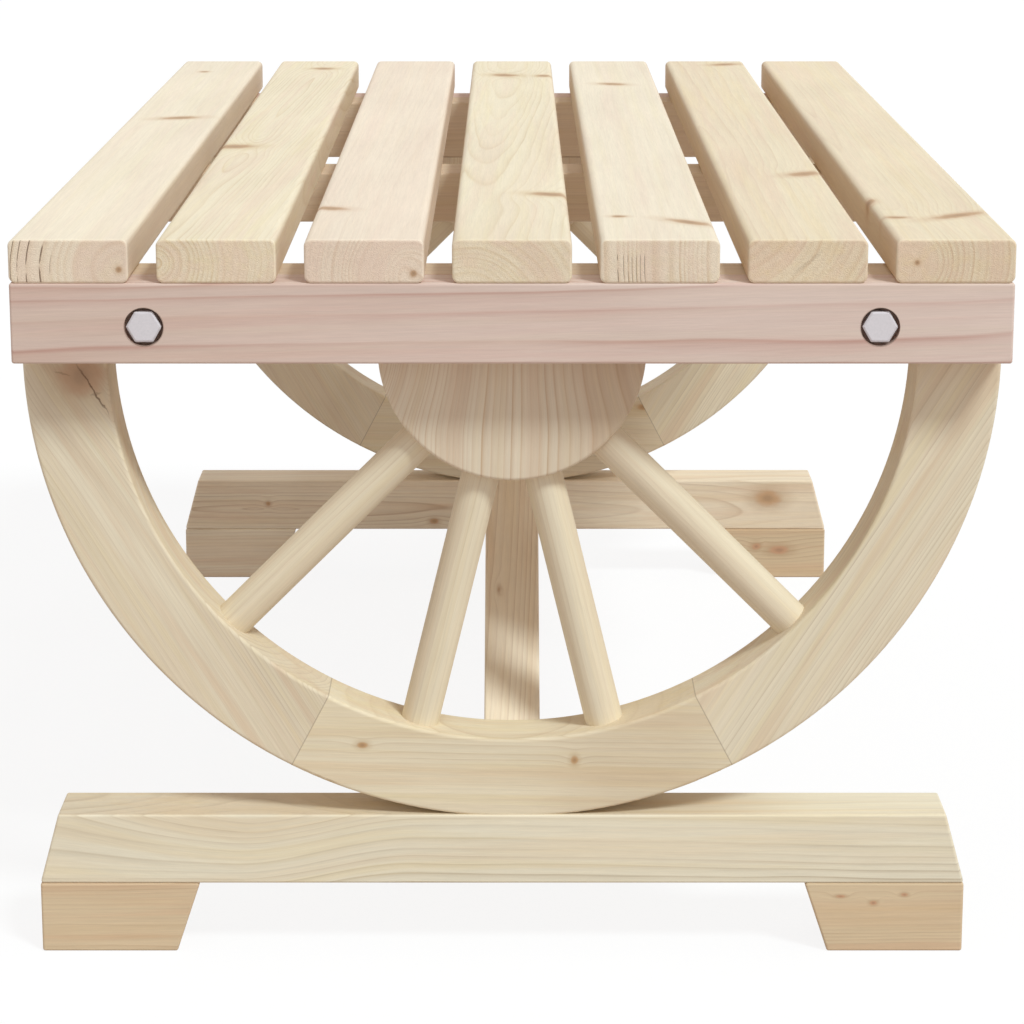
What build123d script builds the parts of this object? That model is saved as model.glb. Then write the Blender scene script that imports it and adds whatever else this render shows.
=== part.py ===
from build123d import *
import math
import os

# Wagon wheel table: a slatted top on two half wheels, each on a foot of its own.
# X runs across the table, Y along its slats from the front end to the rear end, and Z up.
# The origin is on the floor, under the middle of the top. All sizes are in millimetres.

# Driving dimensions of the top
slat_count = 7
slat_length = 900.0
slat_width = 65.5
slat_gap = 15.25
slat_thickness = 24.4
slat_edge_radius = 4.0
slat_end_radius = 1.5
rear_overhang = 20.0            # how far the slats pass the rear outer beam

# Beams across the table, under the slats
beam_height = 45.0              # of the outer and the inner beams
outer_beam_thickness = 29.0
inner_beam_thickness = 36.0
middle_beam_width = 46.0
middle_beam_height = 33.8
beam_edge_radius = 1.5

# Half wheels, with their straight side under the inner beams
wheel_inset = 1.2               # from the ends of the beams in to the rim
wheel_thickness = 36.0
wheel_flat_depth = 1.8          # what is planed off the rim where it stands on the foot
rim_width = 47.2
rim_joint_angle = 27.65         # of the two rim joints, from straight down
rim_edge_radius = 2.0
hub_radius = 75.2
hub_saw_loss = 1.7              # how far under its centre the hub is sawn through
spoke_diameter = 21.8
spoke_angles = (-45.0, -13.6, 13.6, 45.0)   # from straight down
spoke_socket_depth = 15.0
spoke_end_chamfer = 1.0

# Feet: a bevelled beam on two blocks
foot_beam_length = 536.0        # along its lower face
foot_beam_height = 42.0
foot_beam_bevel = 11.5          # how much shorter the upper face is at each end
foot_depth = 38.0
foot_block_height = 42.0
foot_block_top_length = 92.6
foot_block_bottom_length = 78.6
foot_edge_radius = 1.5
foot_offset = -5.7              # of both feet across the table

# Braces from the rims up to the middle beam
brace_width = 32.5
brace_thickness = 24.5
brace_edge_radius = 1.5
brace_slat_gap = 0.6            # from the upper end of a brace to the slats
brace_rim_gap = 0.5             # from the lower end of a brace up to the inner face of the rim

# Hex bolts through the outer and inner beams
bolt_diameter = 10.0
bolt_head_flats = 17.0
bolt_head_height = 6.4
hex_face_chamfer = 1.0          # round the outer face of a bolt head or nut, seen from that face
hex_side_chamfer = 0.5          # the same chamfer, seen from the side
hex_corner_radius = 1.2
bolt_head_sink = 0.8            # of the bolt head, under the face of the beam
bolt_drop = 24.4                # from the top of the beams down to the bolts
bolt_counterbore_radius = 10.8
bolt_hole_clearance = 0.3
bolt_standout = 5.2             # of the bolt's end, past its nut
bolt_end_chamfer = 1.0
washer_diameter = 20.0
washer_thickness = 2.0
washer_clearance = 0.5
nut_height = 8.0
nut_thread_clearance = 0.05

# Wood screws
screw_diameter = 4.5
screw_head_diameter = 9.0
screw_head_rim = 0.6
screw_tip_length = 5.0
screw_recess_length = 4.6
screw_recess_width = 1.0
screw_recess_depth = 1.8
screw_clearance = 0.05
screw_access_clearance = 0.5
screw_hole_end_gap = 1.0
slat_screw_length = 60.0
slat_screw_sink = 3.0
slat_screw_offset = 18.0        # of the two screws from the middle of their slat
middle_screw_length = 45.0
middle_screw_sink = 3.0
wheel_screw_length = 70.0
wheel_screw_sink = 1.0
hub_screw_offset = 24.0         # of the two hub screws from the middle of the hub
foot_screw_length = 65.0
foot_screw_sink = 3.0
foot_screw_offset = 18.0        # of the two foot screws from the middle of the wheel
block_screw_length = 70.0
block_screw_sink = 5.0
block_screw_insets = (20.0, 58.0)           # from the outer face of the block
brace_screw_length = 35.0
brace_screw_seat = 14.0         # from the brace's end face to the head of its screw
brace_screw_rise = 16.0         # of the screw from the sharp corner of the brace's end
brace_screw_access = 30.0       # length of the bore that lets the screw in

# Dowels across the rim joints
dowel_diameter = 8.0
dowel_length = 40.0
dowel_spacing = 20.0
dowel_end_chamfer = 1.0
dowel_clearance = 0.05
dowel_end_gap = 1.0

# Levels and places that follow from the sizes above
slat_pitch = slat_width + slat_gap
table_width = slat_count * slat_pitch - slat_gap
wheel_radius = table_width / 2 - wheel_inset
rim_inner_radius = wheel_radius - rim_width
rim_middle_radius = wheel_radius - rim_width / 2
foot_top_z = foot_block_height + foot_beam_height
wheel_z = foot_top_z + wheel_radius - wheel_flat_depth
beam_top_z = wheel_z + beam_height
bolt_z = beam_top_z - bolt_drop
bolt_x = slat_pitch * (slat_count - 2) / 2  # under the first and the last gap of the top
bolt_counterbore_depth = bolt_head_sink + bolt_head_height

front_y = -slat_length / 2
frame_length = slat_length - rear_overhang
frame_middle_y = front_y + frame_length / 2
outer_beam_y = front_y + outer_beam_thickness / 2
beam_joint_y = front_y + outer_beam_thickness
wheel_y = beam_joint_y + inner_beam_thickness / 2
inner_face_y = beam_joint_y + inner_beam_thickness
rim_back_y = wheel_y + wheel_thickness / 2
middle_beam_front_y = frame_middle_y - middle_beam_width / 2
frame_mirror = Plane.XZ.offset(-frame_middle_y)
reach = 2 * (slat_length + table_width)     # longer than the whole table

# Directions of a fastener, whose own axis runs down from its head at the origin
DOWNWARDS = Rot(0, 0, 0)
UPWARDS = Rot(180, 0, 0)
REARWARDS = Rot(90, 0, 0)
FORWARDS = Rot(-90, 0, 0)


def save(name, shape):
    """Write one sub-part as parts/name.step."""
    export_step(shape, f"parts/{name}.step")


def save_both_ends(name, shape):
    """Write a sub-part of the front end, and the same one mirrored to the rear end."""
    save(f"front_{name}", shape)
    save(f"rear_{name}", mirror(shape, about=frame_mirror))


def at_both_ends(solids):
    """The solids of the front end, followed by their mirror images at the rear end."""
    return solids + [mirror(solid, about=frame_mirror) for solid in solids]


def eased_box(size_x, size_y, size_z, radius):
    """A box with all of its edges rounded."""
    box = Box(size_x, size_y, size_z)
    return fillet(box.edges(), radius)


def turned_about_z(points):
    """A solid of revolution about Z, from its half outline as points of radius and height."""
    outline = make_face(Polyline(*[(radius, 0, height) for radius, height in points], close=True))
    return revolve(outline, Axis.Z)


def prism_along_y(points, depth):
    """A solid with an outline of points of X and Z, centred on the plane Y = 0."""
    outline = make_face(Polyline(*[(x, 0, z) for x, z in points], close=True))
    return extrude(outline, depth / 2, dir=(0, 1, 0), both=True)


def cylinder_along_y(radius, depth):
    return Rot(90, 0, 0) * Cylinder(radius, depth)


# Fasteners ------------------------------------------------------------------------------------

def hex_prism(height):
    """A hexagon of the bolt's size under Z = 0, with corners on X and its upper face chamfered."""
    hexagon = extrude(RegularPolygon(bolt_head_flats / 2, 6, major_radius=False), -height)
    hexagon = fillet(hexagon.edges().filter_by(Axis.Z), hex_corner_radius)
    upper_face = hexagon.faces().sort_by(Axis.Z)[-1]
    return chamfer(upper_face.edges(), hex_face_chamfer, hex_side_chamfer, reference=upper_face)


def hex_bolt():
    """A hex bolt, with the outer face of its head at the origin."""
    grip = outer_beam_thickness - bolt_counterbore_depth + inner_beam_thickness
    shank_length = grip + washer_thickness + nut_height + bolt_standout
    shank = Pos(0, 0, -shank_length / 2) * Cylinder(bolt_diameter / 2, shank_length)
    shank = chamfer(shank.edges().sort_by(Axis.Z)[0], bolt_end_chamfer)
    return hex_prism(bolt_head_height) + Pos(0, 0, -bolt_head_height) * shank


def bolt_hole():
    """What a bolt takes out of the beams, from the outer face of its head."""
    shank_length = outer_beam_thickness + inner_beam_thickness
    shank_radius = bolt_diameter / 2 + bolt_hole_clearance
    bore = Pos(0, 0, -shank_length / 2) * Cylinder(shank_radius, shank_length)
    recess_middle = bolt_head_sink - bolt_counterbore_depth / 2
    recess = Pos(0, 0, recess_middle) * Cylinder(bolt_counterbore_radius, bolt_counterbore_depth)
    return bore + recess


def washer():
    """A washer with its bearing face at the origin, on the side that the bolt ends."""
    ring = Cylinder(washer_diameter / 2, washer_thickness)
    ring -= Cylinder(bolt_diameter / 2 + washer_clearance, washer_thickness)
    return Pos(0, 0, -washer_thickness / 2) * ring


def nut():
    """A hex nut under the origin, chamfered on the side that the bolt ends."""
    block = Rot(180, 0, 0) * hex_prism(nut_height)
    bore = Pos(0, 0, nut_height / 2) * Cylinder(bolt_diameter / 2 + nut_thread_clearance, nut_height)
    return Pos(0, 0, -nut_height) * (block - bore)


def wood_screw(length):
    """A countersunk wood screw, with the top of its head at the origin."""
    head_radius = screw_head_diameter / 2
    shank_radius = screw_diameter / 2
    neck = -screw_head_rim - (head_radius - shank_radius)
    body = turned_about_z([
        (0, 0),
        (head_radius, 0),
        (head_radius, -screw_head_rim),
        (shank_radius, neck),
        (shank_radius, screw_tip_length - length),
        (0, -length),
    ])
    slot = Pos(0, 0, -screw_recess_depth / 2)
    recess = slot * Box(screw_recess_length, screw_recess_width, screw_recess_depth)
    recess += slot * Box(screw_recess_width, screw_recess_length, screw_recess_depth)
    return body - recess


def screw_hole(length, access):
    """The pilot hole, countersink and access bore of a wood screw."""
    head_radius = screw_head_diameter / 2
    access_radius = head_radius + screw_access_clearance
    pilot_radius = screw_diameter / 2 + screw_clearance
    neck = -screw_head_rim - (head_radius - pilot_radius)
    return turned_about_z([
        (0, access),
        (access_radius, access),
        (access_radius, -screw_head_rim),
        (head_radius, -screw_head_rim),
        (pilot_radius, neck),
        (pilot_radius, -length - screw_hole_end_gap),
        (0, -length - screw_hole_end_gap),
    ])


def placed(shape, places, direction):
    """Copies of a fastener, or of its hole, at each place."""
    return [Pos(*place) * direction * shape for place in places]


# Places of the fasteners of the front end -------------------------------------------------------

def slat_x(index):
    return (index - (slat_count - 1) / 2) * slat_pitch


def slat_screw_xs(index):
    return (slat_x(index) - slat_screw_offset, slat_x(index) + slat_screw_offset)


all_slat_screw_xs = [x for index in range(slat_count) for x in slat_screw_xs(index)]
bolt_places = [(side * bolt_x, front_y + bolt_head_sink, bolt_z) for side in (-1, 1)]
washer_places = [(side * bolt_x, inner_face_y, bolt_z) for side in (-1, 1)]
nut_places = [(side * bolt_x, inner_face_y + washer_thickness, bolt_z) for side in (-1, 1)]
slat_screw_z = wheel_z + slat_screw_sink
middle_screw_z = beam_top_z - middle_beam_height + middle_screw_sink
wheel_screw_z = beam_top_z - wheel_screw_sink
wheel_screw_xs = (-rim_middle_radius, -hub_screw_offset, hub_screw_offset, rim_middle_radius)
wheel_screw_places = [(x, wheel_y, wheel_screw_z) for x in wheel_screw_xs]
foot_screw_z = foot_block_height + foot_screw_sink
foot_screw_places = [(side * foot_screw_offset, wheel_y, foot_screw_z) for side in (-1, 1)]


def block_screw_places(side):
    """Places of the screws of the left (-1) or right (1) foot block."""
    xs = [foot_offset + side * (foot_beam_length / 2 - inset) for inset in block_screw_insets]
    return [(x, wheel_y, block_screw_sink) for x in xs]


# Top --------------------------------------------------------------------------------------------

def slat(index):
    """One slat of the top, with the pilot holes of its screws in its underside."""
    board = Box(slat_width, slat_length, slat_thickness)
    board = fillet(board.edges().filter_by(Axis.Y), slat_edge_radius)
    end_faces = board.faces().filter_by(Axis.Y)
    board = fillet(end_faces.edges(), slat_end_radius)
    board = Pos(slat_x(index), 0, beam_top_z + slat_thickness / 2) * board
    xs = slat_screw_xs(index)
    end_places = [(x, outer_beam_y, slat_screw_z) for x in xs]
    end_holes = placed(screw_hole(slat_screw_length, 0), end_places, UPWARDS)
    middle_places = [(x, frame_middle_y, middle_screw_z) for x in xs]
    middle_holes = placed(screw_hole(middle_screw_length, 0), middle_places, UPWARDS)
    return board - at_both_ends(end_holes) - middle_holes


def outer_beam():
    """The beam under the ends of the slats, with its bolt holes and slat screws' holes."""
    beam = eased_box(table_width, outer_beam_thickness, beam_height, beam_edge_radius)
    beam = Pos(0, outer_beam_y, wheel_z + beam_height / 2) * beam
    screw_places = [(x, outer_beam_y, slat_screw_z) for x in all_slat_screw_xs]
    beam -= placed(screw_hole(slat_screw_length, slat_screw_sink), screw_places, UPWARDS)
    return beam - placed(bolt_hole(), bolt_places, REARWARDS)


def inner_beam():
    """The beam on the straight side of a half wheel, bolted to the outer beam."""
    beam = eased_box(table_width, inner_beam_thickness, beam_height, beam_edge_radius)
    beam = Pos(0, wheel_y, wheel_z + beam_height / 2) * beam
    beam -= placed(screw_hole(wheel_screw_length, wheel_screw_sink), wheel_screw_places, DOWNWARDS)
    return beam - placed(bolt_hole(), bolt_places, REARWARDS)


def middle_beam():
    """The flat beam under the middle of the slats, where the two braces end."""
    beam = eased_box(table_width, middle_beam_width, middle_beam_height, beam_edge_radius)
    beam = Pos(0, frame_middle_y, beam_top_z - middle_beam_height / 2) * beam
    screw_places = [(x, frame_middle_y, middle_screw_z) for x in all_slat_screw_xs]
    beam -= placed(screw_hole(middle_screw_length, middle_screw_sink), screw_places, UPWARDS)
    return beam - at_both_ends(brace_screw_holes()[1:])


# Half wheel -------------------------------------------------------------------------------------

def along_radius(shape, angle, radius):
    """Put a shape, with its axis on Z, along the radius at an angle from straight down."""
    turn = math.radians(angle)
    place = (radius * math.sin(turn), wheel_y, wheel_z - radius * math.cos(turn))
    return Pos(*place) * Rot(0, -angle, 0) * shape


def spoke(angle):
    """A round spoke, let into the hub and the rim."""
    start = hub_radius - spoke_socket_depth
    end = rim_inner_radius + spoke_socket_depth
    rod = Cylinder(spoke_diameter / 2, end - start)
    rod = chamfer(rod.edges().filter_by(GeomType.CIRCLE), spoke_end_chamfer)
    return along_radius(rod, angle, (start + end) / 2)


def spoke_holes():
    """The sockets of all spokes, in the hub and the rim."""
    start = hub_radius - spoke_socket_depth - dowel_clearance
    end = rim_inner_radius + spoke_socket_depth + dowel_clearance
    bore = Cylinder(spoke_diameter / 2 + dowel_clearance, end - start)
    return [along_radius(bore, angle, (start + end) / 2) for angle in spoke_angles]


def rim_joint_dowels(radius, length, end_chamfer):
    """The dowels across both rim joints, square to the joint faces."""
    rod = Cylinder(radius, length)
    if end_chamfer > 0:
        rod = chamfer(rod.edges().filter_by(GeomType.CIRCLE), end_chamfer)
    crosswise = Rot(0, 90, 0) * rod
    dowels = []
    for angle in (-rim_joint_angle, rim_joint_angle):
        for side in (-1, 1):
            dowels.append(along_radius(crosswise, angle, rim_middle_radius + side * dowel_spacing / 2))
    return dowels


def sector(first_angle, last_angle):
    """A wedge from the wheel's centre, between two angles from straight down."""
    angles = [math.radians(angle) for angle in (first_angle, last_angle)]
    points = [(reach * math.sin(angle), -reach * math.cos(angle)) for angle in angles]
    return Pos(0, wheel_y, wheel_z) * prism_along_y([(0, 0)] + points, 2 * wheel_thickness)


def rim_segment(first_angle, last_angle):
    """One of the three segments of a rim, between two angles from straight down."""
    ring = cylinder_along_y(wheel_radius, wheel_thickness)
    ring -= cylinder_along_y(rim_inner_radius, wheel_thickness)
    ring = fillet(ring.edges().filter_by(GeomType.CIRCLE), rim_edge_radius)
    segment = Pos(0, wheel_y, wheel_z) * ring & sector(first_angle, last_angle)
    segment -= Pos(0, wheel_y, foot_top_z - reach / 2) * Box(reach, reach, reach)
    segment -= spoke_holes()
    hole_length = dowel_length + 2 * dowel_end_gap
    segment -= rim_joint_dowels(dowel_diameter / 2 + dowel_clearance, hole_length, 0)
    segment -= placed(screw_hole(wheel_screw_length, 0), wheel_screw_places, DOWNWARDS)
    segment -= placed(screw_hole(foot_screw_length, 0), foot_screw_places, UPWARDS)
    return segment - brace_screw_holes()[:1]


def hub():
    """The half round hub, with its straight side under the inner beam."""
    disc = cylinder_along_y(hub_radius, wheel_thickness)
    disc = fillet(disc.edges().filter_by(GeomType.CIRCLE), rim_edge_radius)
    half = Pos(0, wheel_y, wheel_z + hub_saw_loss) * disc
    half -= Pos(0, wheel_y, wheel_z + reach / 2) * Box(reach, reach, reach)
    half -= spoke_holes()
    return half - placed(screw_hole(wheel_screw_length, 0), wheel_screw_places, DOWNWARDS)


# Foot -------------------------------------------------------------------------------------------

def foot_beam():
    """The bevelled beam that carries a half wheel."""
    half = foot_beam_length / 2
    outline = [
        (-half, foot_block_height),
        (half, foot_block_height),
        (half - foot_beam_bevel, foot_top_z),
        (foot_beam_bevel - half, foot_top_z),
    ]
    beam = prism_along_y(outline, foot_depth)
    beam = Pos(foot_offset, wheel_y, 0) * fillet(beam.edges(), foot_edge_radius)
    beam -= placed(screw_hole(foot_screw_length, foot_screw_sink), foot_screw_places, UPWARDS)
    for side in (-1, 1):
        beam -= placed(screw_hole(block_screw_length, 0), block_screw_places(side), UPWARDS)
    return beam


def foot_block(side):
    """The left (-1) or right (1) block under a foot beam."""
    outer_x = side * foot_beam_length / 2
    outline = [
        (outer_x, 0),
        (outer_x - side * foot_block_bottom_length, 0),
        (outer_x - side * foot_block_top_length, foot_block_height),
        (outer_x, foot_block_height),
    ]
    block = prism_along_y(outline, foot_depth)
    block = Pos(foot_offset, wheel_y, 0) * fillet(block.edges(), foot_edge_radius)
    hole = screw_hole(block_screw_length, block_screw_sink)
    return block - placed(hole, block_screw_places(side), UPWARDS)


# Brace ------------------------------------------------------------------------------------------

brace_low_z = wheel_z - rim_inner_radius - brace_rim_gap    # upper corner at the rim
brace_high_z = beam_top_z - brace_slat_gap                  # upper corner at the middle beam
brace_run = middle_beam_front_y - rim_back_y
brace_slope = (brace_high_z - brace_low_z) / brace_run
brace_end_height = brace_thickness * math.hypot(1, brace_slope)
brace_middle_z = (brace_low_z + brace_high_z - brace_end_height) / 2
brace_centre = Pos(0, rim_back_y + brace_run / 2, brace_middle_z)


def brace_ends(shape):
    """A shape at the lower end of the brace, and the same one turned round to its upper end."""
    lower = Pos(0, -brace_run / 2, -(brace_high_z - brace_low_z + brace_end_height) / 2) * shape
    return [brace_centre * lower, brace_centre * Rot(180, 0, 0) * lower]


def brace_screws():
    """The screws that run level into the rim and into the middle beam."""
    screw = wood_screw(brace_screw_length)
    return brace_ends(Pos(0, brace_screw_seat, brace_screw_rise) * FORWARDS * screw)


def brace_screw_holes():
    """The holes of the brace's screws: the one at the rim, then the one at the middle beam."""
    hole = screw_hole(brace_screw_length, brace_screw_access)
    return brace_ends(Pos(0, brace_screw_seat, brace_screw_rise) * FORWARDS * hole)


def brace():
    """The sloping brace, with both ends cut plumb against the rim and the middle beam."""
    outline = Polyline(
        (0, rim_back_y, brace_low_z),
        (0, rim_back_y, brace_low_z - brace_end_height),
        (0, middle_beam_front_y, brace_high_z - brace_end_height),
        (0, middle_beam_front_y, brace_high_z),
        close=True,
    )
    bar = extrude(make_face(outline), brace_width / 2, dir=(1, 0, 0), both=True)
    long_edges = bar.edges().filter_by(lambda edge: edge.length > brace_run)
    return fillet(long_edges, brace_edge_radius) - brace_screw_holes()


# The whole table --------------------------------------------------------------------------------

def save_wheel():
    save_both_ends("rim_left", rim_segment(-90, -rim_joint_angle))
    save_both_ends("rim_bottom", rim_segment(-rim_joint_angle, rim_joint_angle))
    save_both_ends("rim_right", rim_segment(rim_joint_angle, 90))
    save_both_ends("hub", hub())
    for index, angle in enumerate(spoke_angles):
        save_both_ends(f"spoke_{index + 1}", spoke(angle))


def save_fasteners():
    save("hex_bolts", Compound(at_both_ends(placed(hex_bolt(), bolt_places, REARWARDS))))
    save("washers", Compound(at_both_ends(placed(washer(), washer_places, REARWARDS))))
    save("nuts", Compound(at_both_ends(placed(nut(), nut_places, REARWARDS))))
    slat_places = [(x, outer_beam_y, slat_screw_z) for x in all_slat_screw_xs]
    slat_screws = placed(wood_screw(slat_screw_length), slat_places, UPWARDS)
    save("slat_screws", Compound(at_both_ends(slat_screws)))
    middle_places = [(x, frame_middle_y, middle_screw_z) for x in all_slat_screw_xs]
    save("middle_beam_screws", Compound(placed(wood_screw(middle_screw_length), middle_places, UPWARDS)))
    wheel_screws = placed(wood_screw(wheel_screw_length), wheel_screw_places, DOWNWARDS)
    save("wheel_screws", Compound(at_both_ends(wheel_screws)))
    foot_screws = placed(wood_screw(foot_screw_length), foot_screw_places, UPWARDS)
    save("foot_screws", Compound(at_both_ends(foot_screws)))
    block_places = block_screw_places(-1) + block_screw_places(1)
    block_screws = placed(wood_screw(block_screw_length), block_places, UPWARDS)
    save("block_screws", Compound(at_both_ends(block_screws)))
    save("brace_screws", Compound(at_both_ends(brace_screws())))
    dowels = rim_joint_dowels(dowel_diameter / 2, dowel_length, dowel_end_chamfer)
    save("rim_dowels", Compound(at_both_ends(dowels)))


os.makedirs("parts", exist_ok=True)
for index in range(slat_count):
    save(f"slat_{index + 1}", slat(index))
save_both_ends("outer_beam", outer_beam())
save_both_ends("inner_beam", inner_beam())
save("middle_beam", middle_beam())
save_wheel()
save_both_ends("foot_beam", foot_beam())
save_both_ends("foot_block_left", foot_block(-1))
save_both_ends("foot_block_right", foot_block(1))
save_both_ends("brace", brace())
save_fasteners()
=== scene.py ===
import math

import bpy
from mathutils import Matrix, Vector


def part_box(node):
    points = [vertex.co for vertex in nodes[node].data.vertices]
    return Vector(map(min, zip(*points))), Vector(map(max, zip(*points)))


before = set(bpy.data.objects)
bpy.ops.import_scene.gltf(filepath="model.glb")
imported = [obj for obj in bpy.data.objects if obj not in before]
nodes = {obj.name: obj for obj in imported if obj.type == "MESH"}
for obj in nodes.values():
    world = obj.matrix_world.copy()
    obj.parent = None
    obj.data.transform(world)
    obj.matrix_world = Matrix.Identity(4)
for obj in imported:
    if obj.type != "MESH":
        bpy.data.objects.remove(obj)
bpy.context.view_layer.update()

MM = 0.001                      # metres in a millimetre

# Camera, in metres and degrees
CAMERA_PLACE = (0.0, -2.05, 0.695)
CAMERA_PITCH = 12.05            # down from level
CAMERA_LENS = 104.7             # millimetres, on a sensor 36 mm wide
CAMERA_SHIFT = -0.14

# Light: a soft lamp, a little cool, and a warm fill from the sky and the floor
SUN_ELEVATION = 50.0            # degrees above the floor
SUN_TURN = 42.0                 # degrees from the front towards the right
SUN_ANGLE = 12.0                # degrees across, which makes the edges of shadows soft
SUN_STRENGTH = 1.96
SUN_COLOUR = (0.868, 0.962, 1.0)
SKY_STRENGTH = 0.56
SKY_COLOUR = (1.0, 0.956, 0.942, 1.0)
BACKDROP_COLOUR = (1.0, 1.0, 1.0, 1.0)  # of the sky where it is seen
FLOOR_BOUNCE = (0.56, 0.485, 0.455, 1.0)    # the floor's colour for the light that it sends back up
FLOOR_GLOW = 0.87               # these two make the floor white to the camera, with pale shadows
FLOOR_SHADE = 0.14
FLOOR_SIZE = 60.0


# Nodes ------------------------------------------------------------------------------------------

COLOUR_MIX_INPUTS = (0, 6, 7)   # of a mix node, which has sockets for other kinds of values too
COLOUR_MIX_OUTPUT = 2


class Graph:
    """Adds nodes to a node tree. Each call but node() and put() makes a node and gives its outputs."""

    def __init__(self, tree):
        self.tree = tree

    def node(self, kind, **settings):
        """A new node, with these settings."""
        node = self.tree.nodes.new(kind)
        for name, value in settings.items():
            setattr(node, name, value)
        return node

    def put(self, socket, value):
        """Give an input a number, a vector, a colour or another node's output."""
        if isinstance(value, bpy.types.NodeSocket):
            self.tree.links.new(value, socket)
        else:
            socket.default_value = value

    def math(self, operation, *values, clamp=False):
        """The result of an operation on numbers."""
        node = self.node("ShaderNodeMath", operation=operation, use_clamp=clamp)
        for socket, value in zip(node.inputs, values):
            self.put(socket, value)
        return node.outputs[0]

    def vector(self, operation, *values):
        """The result of an operation on places or colours, which is a number for some."""
        node = self.node("ShaderNodeVectorMath", operation=operation)
        for socket, value in zip(node.inputs, values):
            self.put(socket, value)
        gives_number = operation in ("LENGTH", "DOT_PRODUCT")
        return node.outputs["Value" if gives_number else "Vector"]

    def local(self, place, centre, size, turn=(0, 0, 0)):
        """A place as seen from a centre, turned, and in units of size."""
        node = self.node("ShaderNodeMapping", vector_type="TEXTURE")
        for socket, value in zip(node.inputs, (place, centre, turn, size)):
            self.put(socket, value)
        return node.outputs["Vector"]

    def parts(self, place):
        """The three numbers of a place."""
        node = self.node("ShaderNodeSeparateXYZ")
        self.put(node.inputs[0], place)
        return node.outputs[0], node.outputs[1], node.outputs[2]

    def joined(self, *numbers):
        """A place from its three numbers."""
        node = self.node("ShaderNodeCombineXYZ")
        for socket, number in zip(node.inputs, numbers):
            self.put(socket, number)
        return node.outputs[0]

    def noise(self, place, detail=2.0, roughness=0.5):
        """Smooth noise with features about one unit across, as a number and as a colour."""
        node = self.node("ShaderNodeTexNoise")
        self.put(node.inputs["Vector"], place)
        self.put(node.inputs["Scale"], 1.0)
        self.put(node.inputs["Detail"], detail)
        self.put(node.inputs["Roughness"], roughness)
        return node.outputs["Fac"], node.outputs["Color"]

    def line_noise(self, number):
        """Smooth noise along a line."""
        node = self.node("ShaderNodeTexNoise", noise_dimensions="1D")
        self.put(node.inputs["W"], number)
        self.put(node.inputs["Scale"], 1.0)
        self.put(node.inputs["Detail"], 0.0)
        return node.outputs["Fac"]

    def random(self, number):
        """Another random number from 0 to 1 for each whole number."""
        node = self.node("ShaderNodeTexWhiteNoise", noise_dimensions="1D")
        self.put(node.inputs["W"], number)
        return node.outputs["Value"]

    def between(self, value, start, end, low=0.0, high=1.0, smooth=True):
        """Low where the value is at start, high where it is at end, and blended between."""
        kind = "SMOOTHSTEP" if smooth else "LINEAR"
        node = self.node("ShaderNodeMapRange", interpolation_type=kind)
        for socket, number in zip(node.inputs, (value, start, end, low, high)):
            self.put(socket, number)
        return node.outputs[0]

    def curve(self, value, points):
        """A grey value that follows points of place and height."""
        node = self.node("ShaderNodeValToRGB")
        ramp = node.color_ramp
        while len(ramp.elements) < len(points):
            ramp.elements.new(1.0)
        for element, (place, height) in zip(ramp.elements, points):
            element.position = place
            element.color = (height, height, height, 1.0)
        self.put(node.inputs["Fac"], value)
        return node.outputs["Color"]

    def mix(self, factor, first, second):
        """A mix of two colours."""
        node = self.node("ShaderNodeMix", data_type="RGBA")
        for place, value in zip(COLOUR_MIX_INPUTS, (factor, first, second)):
            self.put(node.inputs[place], value)
        return node.outputs[COLOUR_MIX_OUTPUT]


def colour(red, green, blue):
    """A linear colour, from values of 0 to 255 as a picture shows them."""
    def linear(value):
        value /= 255
        return value / 12.92 if value <= 0.04045 else ((value + 0.055) / 1.055) ** 2.4
    return (linear(red), linear(green), linear(blue), 1.0)


# Wood -------------------------------------------------------------------------------------------

NO_KNOT = 99.0                          # a distance from knots at which they don't show
WOOD_INPUTS = {                         # name of the input: its kind, and its usual value
    "Grain": ("Vector", None),
    "Seed": ("Float", 0.0),
    "Ring width": ("Float", 3.0),
    "Ring power": ("Float", 1.0),
    "Contrast": ("Float", 0.4),
    "End contrast": ("Float", 0.6),
    "Wander": ("Float", 8.0),
    "Streaks": ("Float", 0.4),
    "Knot": ("Float", NO_KNOT),
    "Knot pull": ("Float", NO_KNOT),
    "Knot bend": ("Float", 6.0),
    "End": ("Float", 0.0),
    "Stain": ("Float", 0.0),
    "Checks": ("Float", 0.0),
    # Tone: the wood's own deeper colour, and painted shade on the slats' sides and on the front foot's
    # top round the wheel
    "Tone": ("Float", 0.0),
    "Early": ("Color", None),
    "Late": ("Color", None),
    "Tint": ("Color", None),
    "Blush": ("Color", None),
    "Knot wood": ("Color", None),
}
WOOD_OUTPUTS = {"Color": "Color", "Roughness": "Float", "Height": "Float"}
END_SHADE = (1.04, 1.01, 1.0)           # the colour of sawn ends as a share of that of faces
TONE_AND_PAINTED_SHADE = (0.83, 0.77, 0.73)         # the colour of wood whose tone is 1, as a share of the usual one; also painted shade for some pieces
STAIN_COLOUR = (104, 74, 52)

# What shows from the start of a ring to its end: how dark it is on faces, how dark it is in sawn
# ends, and how dark a drying crack makes it
LATE_WOOD = ((0.0, 0.2), (0.07, 0.0), (0.5, 0.1), (0.8, 0.45), (0.93, 1.0), (1.0, 0.2))
END_RINGS = ((0.0, 0.3), (0.12, 0.0), (0.45, 0.12), (0.78, 0.9), (0.9, 1.0), (1.0, 0.3))
CHECK_LINE = ((0.0, 0.0), (0.84, 0.0), (0.9, 1.0), (0.96, 1.0), (1.0, 0.0))

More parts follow.
